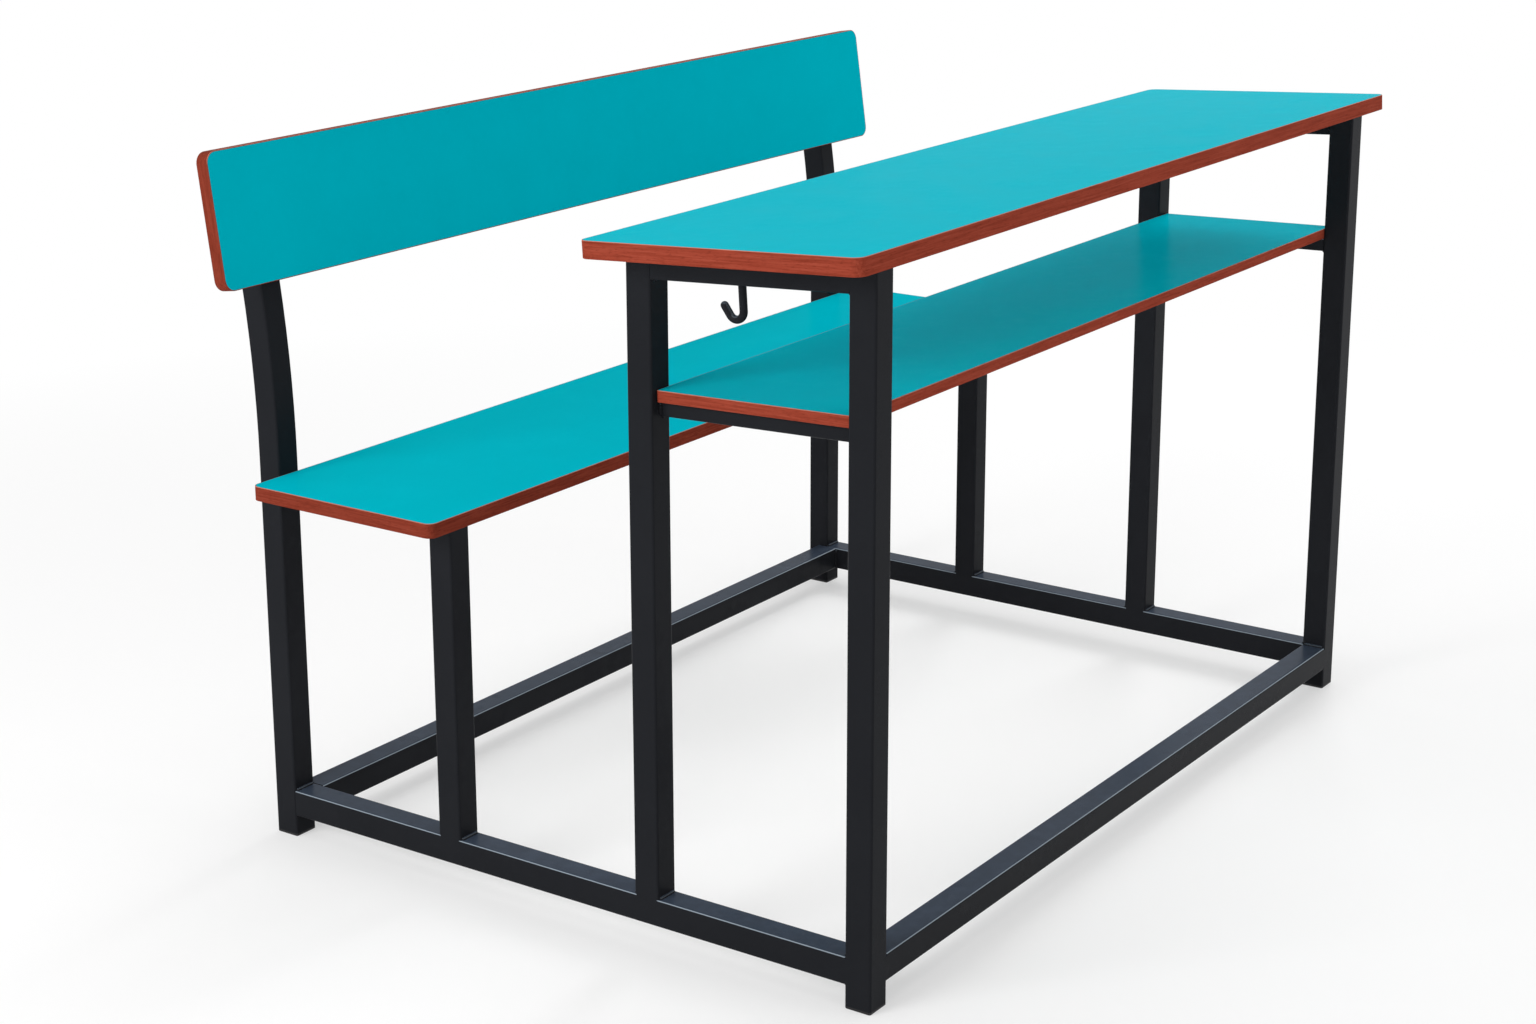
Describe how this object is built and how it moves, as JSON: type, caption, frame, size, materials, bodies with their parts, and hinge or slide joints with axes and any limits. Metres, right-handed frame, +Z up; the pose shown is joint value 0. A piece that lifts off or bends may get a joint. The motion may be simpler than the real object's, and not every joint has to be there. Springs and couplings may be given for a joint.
{
  "type": "school desk with bench",
  "caption": "School desk joined to a bench: black square-tube frame, teal laminate top, book shelf, seat and backrest with wood-look edges, a bag hook under the top.",
  "frame": {"origin": "middle of the whole part's footprint, on the floor", "axes": "+X along the desk, -Y the desk's front, +Y the bench's back, +Z up"},
  "size_m": [1.244, 0.8348, 0.7837],
  "materials": {
    "frame_steel": "satin black powder coat",
    "board_core": "raw particle board",
    "laminate": "teal laminate, semi-gloss with a fine texture",
    "backer": "plain backing sheet",
    "edge_band": "reddish-brown wood-look edge band",
    "plug_plastic": "black moulded plastic",
    "screw_steel": "zinc plated"
  },
  "bodies": {
    "root": {"desk_top_screws": "screw_steel", "book_shelf_screws": "screw_steel", "seat_screws": "screw_steel", "backrest_screws": "screw_steel", "front_leg_left": "frame_steel", "inner_leg_left": "frame_steel", "bench_leg_left": "frame_steel", "rear_post_left": "frame_steel", "floor_side_rail_left": "frame_steel", "desk_apron_left": "frame_steel", "shelf_rail_left": "frame_steel", "seat_rail_left": "frame_steel", "foot_plug_front_left": "plug_plastic", "foot_plug_rear_left": "plug_plastic", "post_cap_left": "plug_plastic", "front_leg_right": "frame_steel", "inner_leg_right": "frame_steel", "bench_leg_right": "frame_steel", "rear_post_right": "frame_steel", "floor_side_rail_right": "frame_steel", "desk_apron_right": "frame_steel", "shelf_rail_right": "frame_steel", "seat_rail_right": "frame_steel", "foot_plug_front_right": "plug_plastic", "foot_plug_rear_right": "plug_plastic", "post_cap_right": "plug_plastic", "bag_hook": "frame_steel", "floor_front_rail": "frame_steel", "floor_rear_rail": "frame_steel", "desk_stretcher": "frame_steel", "seat_stretcher": "frame_steel", "desk_top_edge_band": "edge_band", "desk_top_core": "board_core", "desk_top_laminate": "laminate", "desk_top_backer": "backer", "book_shelf_edge_band": "edge_band", "book_shelf_core": "board_core", "book_shelf_laminate": "laminate", "book_shelf_backer": "backer", "seat_edge_band": "edge_band", "seat_core": "board_core", "seat_laminate": "laminate", "seat_backer": "backer", "backrest_edge_band": "edge_band", "backrest_core": "board_core", "backrest_laminate": "laminate", "backrest_backer": "backer"}
  },
  "joints": []
}
